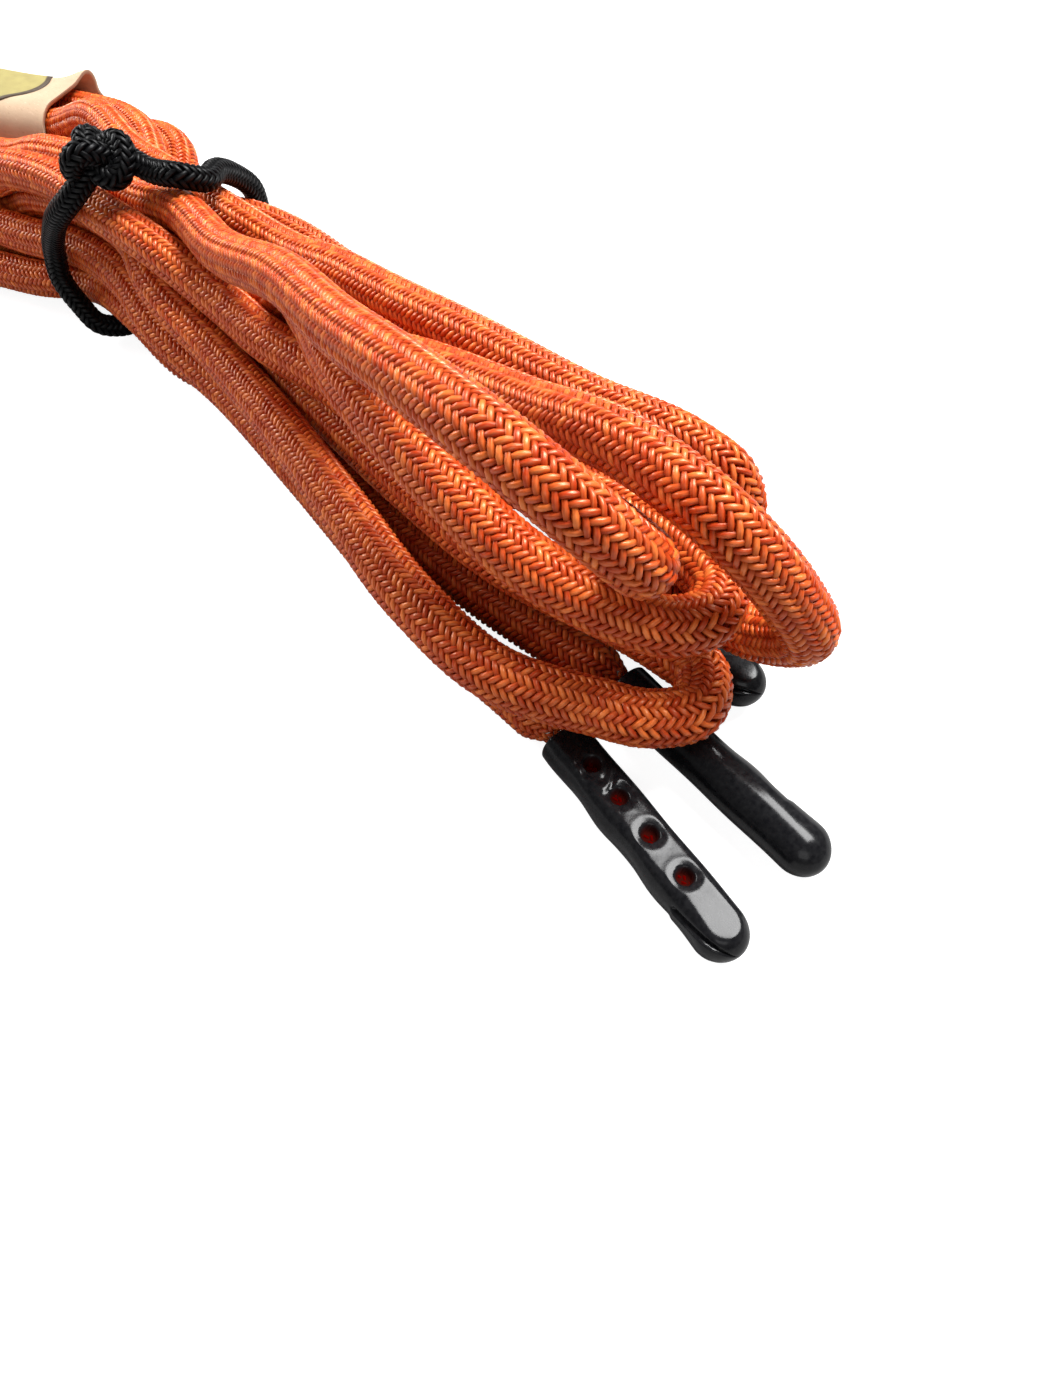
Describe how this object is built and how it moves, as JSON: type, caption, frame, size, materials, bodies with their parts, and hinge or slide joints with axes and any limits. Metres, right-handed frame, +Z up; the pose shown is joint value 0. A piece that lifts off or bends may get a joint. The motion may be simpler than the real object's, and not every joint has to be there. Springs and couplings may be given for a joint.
{
  "type": "round braided laces",
  "caption": "Pair of long round braided laces with metal aglets, folded into a hank, tied with a short cord and held by a paper band.",
  "frame": {"origin": "on the table, under the middle of the tie", "axes": "+X along the right-hand half of the hank towards the four free ends, +Z up, +Y towards the side of the paper band"},
  "size_m": [0.2062, 0.0725, 0.0294],
  "materials": {
    "lace_braid": "glossy filament braid, orange with deep red shadows",
    "core_yarn": "matt core yarns",
    "aglet_metal": "gloss black over rolled sheet metal",
    "melted_cord": "melted filament",
    "tie_braid": "glossy black braid",
    "kraft_paper": null,
    "badge_paper": "printed paper, plain; lettering left out"
  },
  "bodies": {
    "hank": {"lace_a_sheath": "lace_braid", "lace_a_core": "core_yarn", "lace_b_sheath": "lace_braid", "lace_b_core": "core_yarn", "tie_sheath": "tie_braid", "tie_core": "core_yarn", "tie_knot": "tie_braid"},
    "band": {"kraft_band": "kraft_paper", "badge": "badge_paper"},
    "end_1": {"tail_1_sheath": "lace_braid", "tail_1_core": "core_yarn", "aglet_1": "aglet_metal", "cord_end_1": "melted_cord"},
    "end_2": {"tail_2_sheath": "lace_braid", "tail_2_core": "core_yarn", "aglet_2": "aglet_metal", "cord_end_2": "melted_cord"},
    "end_3": {"tail_3_sheath": "lace_braid", "tail_3_core": "core_yarn", "aglet_3": "aglet_metal", "cord_end_3": "melted_cord"},
    "end_4": {"tail_4_sheath": "lace_braid", "tail_4_core": "core_yarn", "aglet_4": "aglet_metal", "cord_end_4": "melted_cord"}
  },
  "joints": [
    {"name": "band_slide", "type": "slide", "parent": "hank", "child": "band", "axis": [-0.8988, -0.4384, 0], "range_m": [-0.0003, 0.0012]},
    {"name": "end_1_swing", "type": "hinge", "parent": "hank", "child": "end_1", "pos_m": [0.05, -0.0086, 0.0029], "axis": [0, 0, 1], "range_deg": [-25, 3]},
    {"name": "end_2_swing", "type": "hinge", "parent": "hank", "child": "end_2", "pos_m": [0.05, -0.0039, 0.0022], "axis": [0, 0, 1], "range_deg": [-5, 1.5]},
    {"name": "end_3_swing", "type": "hinge", "parent": "hank", "child": "end_3", "pos_m": [0.04, 0.0021, 0.0022], "axis": [0, 0, 1], "range_deg": [-0.5, 4]},
    {"name": "end_4_swing", "type": "hinge", "parent": "hank", "child": "end_4", "pos_m": [0.04, 0.008, 0.0022], "axis": [0, 0, 1], "range_deg": [-1, 25]}
  ]
}
